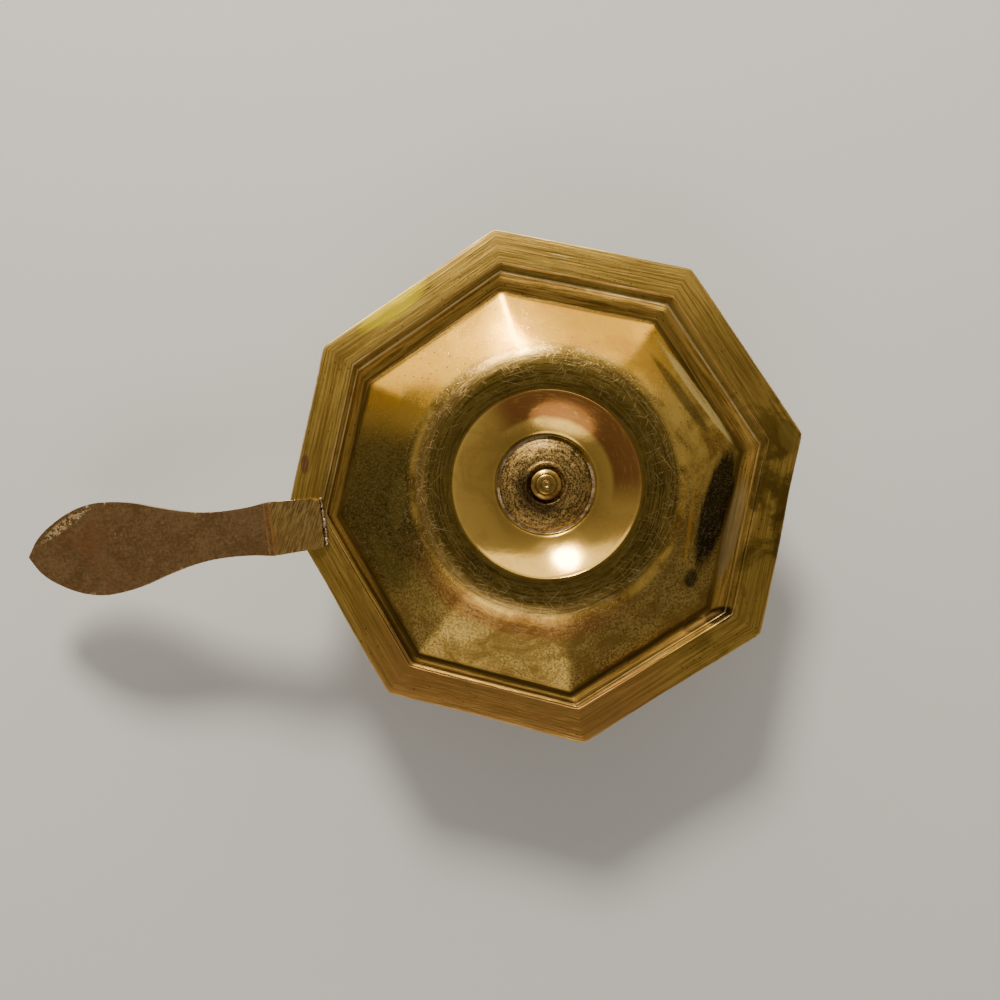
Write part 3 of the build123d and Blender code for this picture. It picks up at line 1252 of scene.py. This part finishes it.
@dataclass
class Pan(Piece):
    """The octagonal pan: edge moulding, facets, foot ring, funnel and seat."""

    segments: int = 320

    def underside(self) -> list[Ring]:
        """Rings over the side that shows, from the hole out to the rim's edge."""
        rings = [
            Ring(4.6, RIM - 3.75), Ring(4.6, RIM - 1.7, 1.0, 0.12), Ring(8.0, RIM - 1.7),
            Ring(12.9, RIM - 1.7), Ring(12.9, RIM - 0.2, 1.0, 0.10),
            Ring(13.4, RIM - 0.15), Ring(13.42, RIM + 0.28, 1.0, 0.14),
        ]
        rings += bowed((14.1, RIM + 0.55), (17.2, RIM + 1.7), (20.8, RIM + 3.75),
                       (23.9, RIM + 6.05), 20)
        rings += [Ring(24.25, RIM + 6.42, 1.0, 0.16), Ring(24.9, RIM + 6.46)]
        rings += bowed((25.6, RIM + 6.50), (29.0, RIM + 6.55), (32.6, RIM + 6.45),
                       (36.0, RIM + 4.72), 16)
        facets = between(Ring(SHOULDER, RIM + 4.72), Ring(VALLEY, RIM - 2.70, 0.0), 22)
        rings += facets[1:-1]
        rings += [Ring(VALLEY, RIM - 2.70, 0.0, 0.2)]
        rings += bowed((50.5, RIM - 2.80), (51.6, RIM - 2.75), (52.9, RIM - 2.2),
                       (53.5, RIM - 1.2), 9, 0.0)
        rings += [
            Ring(53.75, RIM - 1.08, 0.0, 0.10), Ring(54.3, RIM - 0.95, 0.0),
            Ring(ARRIS, RIM - 0.82, 0.0), Ring(55.15, RIM, 0.0, 0.16),
            Ring(57.0, RIM, 0.0), Ring(59.0, RIM, 0.0), Ring(61.0, RIM, 0.0),
            Ring(63.48, RIM, 0.0, 0.30),
        ]
        return rings

    def used_side(self) -> list[Ring]:
        """Rings over the side that holds the wax, from the rim's edge back to the hole."""
        rings = [Ring(63.48, RIM - RIM_THICK, 0.0, 0.30), Ring(61.0, RIM - RIM_THICK, 0.0)]
        rings += bowed((57.5, RIM - RIM_THICK), (56.2, RIM - 2.1), (55.6, RIM - 3.1),
                       (55.1, RIM - 4.5), 6, 0.0)
        rings += bowed((54.7, RIM - 4.9), (54.0, RIM - 5.5), (52.0, RIM - 5.5),
                       (51.0, RIM - 4.55), 10, 0.0)
        rings += between(Ring(49.5, RIM - 4.5, 0.0), Ring(36.0, RIM + 3.0), 22)
        rings += bowed((35.0, RIM + 3.55), (31.0, RIM + 5.05), (27.0, RIM + 5.3),
                       (23.6, RIM + 4.3), 9)
        rings += [Ring(19.5, RIM + 1.8), Ring(15.5, RIM - 0.6), Ring(13.9, RIM - 2.9)]
        rings += [Ring(13.2, RIM - 3.7, 1.0, 0.15), Ring(9.0, RIM - 3.75)]
        return rings

    def build(self, material: bpy.types.Material) -> None:
        """Builds the pan.

        Args:
            material: Its brass.
        """
        bm = sweep(self.underside() + self.used_side(), self.segments, True)

        def hand_worked(co: Vector) -> float:
            """Share of unevenness: least at the turned seat, most on the facets."""
            return smooth(math.hypot(co.x, co.y), 13.0, 34.0)

        weather(bm, depth=0.34, size=24.0, seed=3.0, share=hand_worked)
        weather(bm, depth=0.08, size=8.0, seed=9.0, share=hand_worked)
        self.finish(bm, material)


@dataclass
class Handle(Piece):
    """The strip handle: tab, scored bend and leaf-shaped blade."""

    columns: int = 18

    @staticmethod
    def half_width(distance: float) -> float:
        """Half the strip's width.

        Args:
            distance: Distance along the strip from the bend, negative on the tab.

        Returns:
            The half width, in millimetres.
        """
        if distance <= 0.0:
            return 7.1 + 0.65 * distance / TAB_LENGTH
        stations = (
            (0.0, 7.1), (6.0, 6.35), (14.3, 6.15), (22.0, 6.9), (31.0, 9.0), (40.0, 11.5),
            (49.3, 12.6), (57.0, 11.4), (64.0, 8.3), (69.0, 4.7), (72.4, 0.0),
        )
        for k in range(len(stations) - 1):
            (a, wa), (b, wb) = stations[k], stations[k + 1]
            if distance <= b:
                before = stations[max(k - 1, 0)]
                after = stations[min(k + 2, len(stations) - 1)]
                slope_a = (wb - before[1]) / max(b - before[0], 1e-6)
                slope_b = (after[1] - wa) / max(after[0] - a, 1e-6)
                span = b - a
                t = (distance - a) / span
                return (
                    (2 * t**3 - 3 * t**2 + 1) * wa + (t**3 - 2 * t**2 + t) * span * slope_a
                    + (-2 * t**3 + 3 * t**2) * wb + (t**3 - t**2) * span * slope_b
                )
        return 0.0

    def rows(self) -> list[float]:
        """Distances along the strip at which it has a row of vertices."""
        rows = [-TAB_LENGTH + 0.83 * k for k in range(16)]
        rows += [-0.55, -0.28, 0.0, 0.28, 0.55]
        rows += [1.2 + 1.1 * k for k in range(58)]
        rows += [65.4 + 0.55 * k for k in range(13)]
        return sorted(set(round(r, 3) for r in rows if r <= 72.4)) + [72.4]

    def build(self, material: bpy.types.Material) -> None:
        """Builds the handle.

        Args:
            material: Its brass.
        """
        rows = self.rows()
        bm = bmesh.new()
        bmesh.ops.create_grid(bm, x_segments=len(rows) - 1, y_segments=self.columns, size=1.0)
        # The grid is drawn out to the strip's outline, and the tab's corners are cut a little.
        for v in bm.verts:
            row = rows[round((v.co.x + 1.0) / 2.0 * (len(rows) - 1))]
            half = max(self.half_width(row), 0.0)
            across = v.co.y
            end = max(0.0, 1.0 - (row + TAB_LENGTH) / 1.6)
            inset = 0.9 * end * max(0.0, abs(across) - 0.72) / 0.28
            v.co = (-row, across * half * (1.0 - 0.07 * inset), STRIP_TOP)
            v.co.x -= 0.35 * inset
        bmesh.ops.remove_doubles(bm, verts=bm.verts, dist=1e-3)
        bmesh.ops.recalc_face_normals(bm, faces=bm.faces)
        if bm.faces[0].normal.z < 0:
            bmesh.ops.reverse_faces(bm, faces=bm.faces)
        # A shallow groove is scored across the bend.
        for v in bm.verts:
            v.co.z -= 0.32 * max(0.0, 1.0 - abs(v.co.x) / 0.6)
        skin = list(bm.faces)
        made = bmesh.ops.extrude_face_region(bm, geom=skin)["geom"]
        lower = [g for g in made if isinstance(g, bmesh.types.BMVert)]
        for v in lower:
            v.co.z = STRIP_TOP - STRIP
        rim = [e for e in bm.edges if e.calc_face_angle(0.0) > math.radians(60.0)]
        bmesh.ops.bevel(
            bm, geom=rim, offset=0.34, offset_type="OFFSET", segments=3, profile=0.5,
            affect="EDGES", material=-1, clamp_overlap=True,
        )
        bmesh.ops.recalc_face_normals(bm, faces=bm.faces)
        self.bend(bm)
        weather(bm, depth=0.12, size=14.0, seed=5.0)
        self.store_facing(self.finish(bm, material).data)

    @staticmethod
    def store_facing(mesh: bpy.types.Mesh) -> None:
        """Stores the size of each part of the normal, to tell the edges from the flats.

        Args:
            mesh: The mesh to store it on.
        """
        layer = mesh.attributes.new("facing", "FLOAT_VECTOR", "POINT")
        for vertex, item in zip(mesh.vertices, layer.data):
            item.vector = [abs(part) for part in vertex.normal]

    @staticmethod
    def bend(bm: bmesh.types.BMesh) -> None:
        """Bends the blade down at the scored line and moves the strip to the rim.

        Args:
            bm: The flat strip, with its bend on the axis.
        """
        for v in bm.verts:
            out = -v.co.x
            angle = BEND_ANGLE * smooth(out, -0.9, 0.9)
            if out > -0.9:
                turn = Matrix.Rotation(-angle, 4, "Y")
                pivot = Vector((0.0, v.co.y, STRIP_TOP - STRIP * 0.5))
                v.co = pivot + turn @ (v.co - pivot)
            v.co.x -= BEND_X
        tip = Vector((*HANDLE_TIP, 0.0))
        bmesh.ops.rotate(
            bm, verts=bm.verts, cent=tip, matrix=Matrix.Rotation(HANDLE_SKEW, 3, "Z")
        )


@dataclass
class Solder(Piece):
    """The lumpy seam of solder at the tab's inner end."""

    lumps: int = 26

    def build(self, material: bpy.types.Material) -> None:
        """Builds the seam as run-together drops.

        Args:
            material: The solder.
        """
        bm = bmesh.new()
        for k in range(self.lumps):
            t = k / (self.lumps - 1)
            size = 0.46 + 0.30 * noise.noise(Vector((k * 0.61, 2.1, 0.4)))
            shift = 0.25 * noise.noise(Vector((k * 0.43, 7.3, 1.1)))
            place = Matrix.Translation((-58.95 + shift, -7.8 + 12.0 * t, RIM + 0.1))
            shape = Matrix.Diagonal((0.9, 1.5, 1.9, 1.0))
            bmesh.ops.create_icosphere(
                bm, subdivisions=4, radius=size, matrix=place @ shape
            )
        weather(bm, depth=0.22, size=1.1, seed=4.0)
        self.finish(bm, material)


@dataclass
class RetainingDisc(Piece):
    """The rough disc in the middle, with a collar round its hole."""

    segments: int = 224

    def build(self, material: bpy.types.Material) -> None:
        """Builds the disc.

        Args:
            material: Its rough brass.
        """
        rings = [
            Ring(4.28, RIM - 1.7), Ring(4.28, RIM - 0.3), Ring(4.9, RIM - 0.1),
            Ring(4.92, RIM + 0.9), Ring(5.2, RIM + 1.28, 1.0, 0.10),
            Ring(5.7, RIM + 1.26, 1.0, 0.12), Ring(6.1, RIM + 0.9, 1.0, 0.08),
        ]
        rings += bowed((6.6, RIM + 0.85), (8.4, RIM + 0.75), (10.2, RIM + 0.15),
                       (11.6, RIM - 0.45), 22)
        rings += [Ring(12.0, RIM - 0.65), Ring(12.18, RIM - 0.85), Ring(12.18, RIM - 1.7),
                  Ring(9.0, RIM - 1.7)]
        bm = sweep(rings, self.segments, True)

        def upper(co: Vector) -> float:
            """Share of roughness: the open face only, most at its broken edge."""
            reach = math.hypot(co.x, co.y)
            return smooth(co.z, RIM - 0.2, RIM + 0.2) * smooth(reach, 5.6, 9.0)

        weather(bm, depth=0.14, size=2.6, seed=1.0, share=upper)
        weather(bm, depth=0.08, size=0.9, seed=6.0, share=upper)
        self.finish(bm, material)


@dataclass
class DiscSolder(Piece):
    """What is left of the solder round the disc."""

    steps: int = 180
    start: float = math.radians(75.0)
    arc: float = math.radians(305.0)

    def build(self, material: bpy.types.Material) -> None:
        """Builds the broken ring.

        Args:
            material: The solder.
        """
        bm = bmesh.new()
        face = bmesh.ops.create_grid(bm, x_segments=2, y_segments=4, size=0.5)
        for v in face["verts"]:
            x, y = v.co.x, v.co.y
            v.co = (12.55 + 0.68 * x, 0.0, RIM - 1.2 + 0.9 * y)
        bmesh.ops.rotate(
            bm, verts=bm.verts, cent=(0, 0, 0), matrix=Matrix.Rotation(self.start, 3, "Z")
        )
        bmesh.ops.spin(
            bm, geom=bm.verts[:] + bm.edges[:] + bm.faces[:], cent=(0, 0, 0), axis=(0, 0, 1),
            angle=self.arc, steps=self.steps, use_merge=False, use_duplicate=False,
        )
        bmesh.ops.recalc_face_normals(bm, faces=bm.faces)

        def crumbled(co: Vector) -> float:
            """Share of roughness: the open top only."""
            return smooth(co.z, RIM - 0.9, RIM - 0.3)

        weather(bm, depth=0.16, size=1.0, seed=2.0, share=crumbled)
        self.finish(bm, material)


@dataclass
class Socket(Piece):
    """The candle socket, with the domed end of its tenon showing in the collar."""

    segments: int = 192

    def build(self, material: bpy.types.Material) -> None:
        """Builds the socket.

        Args:
            material: Its turned brass.
        """
        foot = RIM - 4.05
        rings = [Ring(0.0, 20.0), Ring(6.0, 20.0), Ring(11.1, 20.0, 1.0, 0.2), Ring(11.1, 9.0),
                 Ring(11.1, 0.0, 1.0, 0.18), Ring(15.6, 0.0)]
        rings += bowed((15.7, 0.0), (16.8, 0.0), (16.8, 1.8), (15.6, 1.8), 8)
        rings += bowed((15.3, 1.85), (13.8, 1.9), (13.0, 2.6), (13.0, 4.1), 7)
        rings += bowed((13.05, 4.2), (14.2, 4.2), (14.2, 5.6), (13.05, 5.6), 6)
        rings += bowed((13.0, 5.8), (12.6, 9.5), (12.6, 13.5), (13.05, 17.4), 10)
        rings += bowed((13.1, 17.6), (14.5, 17.6), (14.5, 19.2), (13.1, 19.2), 6)
        rings += bowed((13.0, 19.5), (12.8, 21.8), (9.6, 22.3), (8.0, 23.3), 10)
        rings += bowed((7.6, 23.7), (6.8, 24.6), (6.9, 25.5), (7.6, 26.2), 6)
        rings += bowed((7.9, 26.6), (8.9, 28.1), (10.6, 28.5), (12.2, 28.6), 8)
        rings += [Ring(12.6, 29.0, 1.0, 0.12), Ring(12.6, foot, 1.0, 0.12), Ring(8.0, foot),
                  Ring(4.2, foot), Ring(4.2, RIM + 0.85)]
        # The domed end, with turned grooves and the mark of the lathe's centre.
        rings += bowed((4.18, RIM + 1.0), (4.1, RIM + 1.35), (3.7, RIM + 1.62),
                       (3.0, RIM + 1.84), 7)
        rings += [Ring(2.86, RIM + 1.68), Ring(2.72, RIM + 1.70), Ring(2.58, RIM + 1.96)]
        rings += bowed((2.4, RIM + 2.05), (2.1, RIM + 2.16), (1.8, RIM + 2.22),
                       (1.42, RIM + 2.26), 5)
        rings += [Ring(1.28, RIM + 2.12), Ring(1.18, RIM + 2.12), Ring(1.02, RIM + 2.25),
                  Ring(0.7, RIM + 2.22), Ring(0.5, RIM + 2.08), Ring(0.3, RIM + 2.1),
                  Ring(0.0, RIM + 2.0)]
        bm = sweep(rings, self.segments, False)
        self.finish(bm, material)


# --------------------------------------------------------------------------
# The studio
# --------------------------------------------------------------------------


@dataclass(frozen=True)
class Lamp:
    """A soft oval light aimed at the object.

    Attributes:
        name: Its name.
        azimuth: Direction it stands in, in degrees anticlockwise from +X.
        elevation: Height above the horizon, in degrees.
        distance: Distance from the object, in metres.
        size: Width and height, in metres.
        power: Power, in watts.
        colour: Its colour.
    """

    name: str
    azimuth: float
    elevation: float
    distance: float
    size: tuple[float, float]
    power: float
    colour: str = "#FFFFFF"

    def build(self) -> None:
        """Adds the light."""
        data = bpy.data.lights.new(self.name, "AREA")
        data.shape = "ELLIPSE"
        data.size, data.size_y = self.size
        data.energy = self.power
        data.color = linear(self.colour)[:3]
        lamp = bpy.data.objects.new(self.name, data)
        bpy.context.scene.collection.objects.link(lamp)
        azimuth, rise = math.radians(self.azimuth), math.radians(self.elevation)
        target = Vector((0.0, 0.0, RIM * MM))
        away = Vector((
            math.cos(rise) * math.cos(azimuth), math.cos(rise) * math.sin(azimuth),
            math.sin(rise),
        ))
        lamp.location = target + away * self.distance
        lamp.rotation_euler = away.to_track_quat("Z", "Y").to_euler()


@dataclass(frozen=True)
class Studio:
    """Floor, lights, surroundings and camera.

    Attributes:
        centre_seen: The pan's rim centre from the camera: right, up and back, in mm.
        lean: The axis as the camera sees it: right, up and towards it.
        spin: Turn of the handle about the axis, in degrees.
    """

    centre_seen: tuple[float, float, float] = (12.06, 4.05, -262.8)
    lean: tuple[float, float, float] = (0.0, 0.0, 1.0)
    spin: float = 8.0

    def camera(self) -> None:
        """Adds the camera, which looks nearly straight down on the underside."""
        up = Vector(self.lean).normalized()
        spin = math.radians(self.spin)
        right = Vector((math.cos(spin), math.sin(spin), 0.0))
        right = (right - up * right.dot(up)).normalized()
        ahead = up.cross(right)
        seen = Matrix((right, ahead, up)).transposed()
        place = Vector((0.0, 0.0, RIM)) - seen.transposed() @ Vector(self.centre_seen)
        data = bpy.data.cameras.new("camera")
        data.lens = 36.0
        data.sensor_width = 36.0
        data.clip_start = 0.01
        camera = bpy.data.objects.new("camera", data)
        camera.matrix_world = Matrix.Translation(place * MM) @ seen.transposed().to_4x4()
        bpy.context.scene.collection.objects.link(camera)
        bpy.context.scene.camera = camera

    def floor(self) -> None:
        """Adds a wide floor under the socket's lip."""
        bm = bmesh.new()
        bmesh.ops.create_grid(bm, x_segments=4, y_segments=4, size=4.0)
        mesh = bpy.data.meshes.new("floor")
        bm.to_mesh(mesh)
        bm.free()
        mesh.materials.append(FloorPaint().build())
        floor = bpy.data.objects.new("floor", mesh)
        bpy.context.scene.collection.objects.link(floor)

    def lights(self) -> None:
        """Adds the key light, a wide window behind it and a weak fill."""
        for lamp in (
            Lamp("key", azimuth=93.5, elevation=34.0, distance=1.1, size=(0.30, 0.22),
                 power=13.0, colour="#FFF8EC"),
            Lamp("window", azimuth=89.0, elevation=24.0, distance=2.0, size=(5.2, 0.9),
                 power=21.0, colour="#FFF8E4"),
            Lamp("fill", azimuth=250.0, elevation=42.0, distance=1.8, size=(1.4, 0.7),
                 power=6.0, colour="#F6F2EA"),
        ):
            lamp.build()

    def surroundings(self) -> None:
        """Sets a dim grey room that is darker overhead."""
        world = bpy.data.worlds.new("room")
        world.use_nodes = True
        bpy.context.scene.world = world
        nodes, links = world.node_tree.nodes, world.node_tree.links
        nodes.clear()
        where = nodes.new("ShaderNodeTexCoord")
        height = nodes.new("ShaderNodeSeparateXYZ")
        links.new(where.outputs["Generated"], height.inputs["Vector"])
        tone = nodes.new("ShaderNodeValToRGB")
        stops = tone.color_ramp.elements
        stops[0].position, stops[0].color = 0.0, linear("#C2BFB9")
        stops[1].position, stops[1].color = 0.97, linear("#75716A")
        stops.new(0.60).color = linear("#A09B93")
        links.new(height.outputs["Z"], tone.inputs["Fac"])
        background = nodes.new("ShaderNodeBackground")
        background.inputs["Strength"].default_value = 0.88
        links.new(tone.outputs["Color"], background.inputs["Color"])
        output = nodes.new("ShaderNodeOutputWorld")
        links.new(background.outputs["Background"], output.inputs["Surface"])

    def build(self) -> None:
        """Adds everything round the object."""
        self.floor()
        self.lights()
        self.surroundings()
        self.camera()
        LOG.info("built the studio")


def main() -> None:
    """Builds each piece in order, then the studio."""
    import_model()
    solder = SoftSolder().build()
    Pan("pan_body", "pan", Body.PAN, "pan_brass").build(PanBrass().build())
    Handle("handle_strip", "handle", Body.PAN, "handle_brass").build(HandleBrass().build())
    Solder("handle_seam", "handle_solder", Body.PAN, "solder").build(solder)
    RetainingDisc("centre_disc", "retaining_disc", Body.PAN, "disc_brass").build(
        RoughCastBrass().build()
    )
    DiscSolder("disc_seam", "disc_solder", Body.PAN, "solder").build(solder)
    Socket("candle_socket", "socket", Body.SOCKET, "socket_brass").build(TurnedBrass().build())
    Studio().build()


if __name__ == "__main__":
    main()
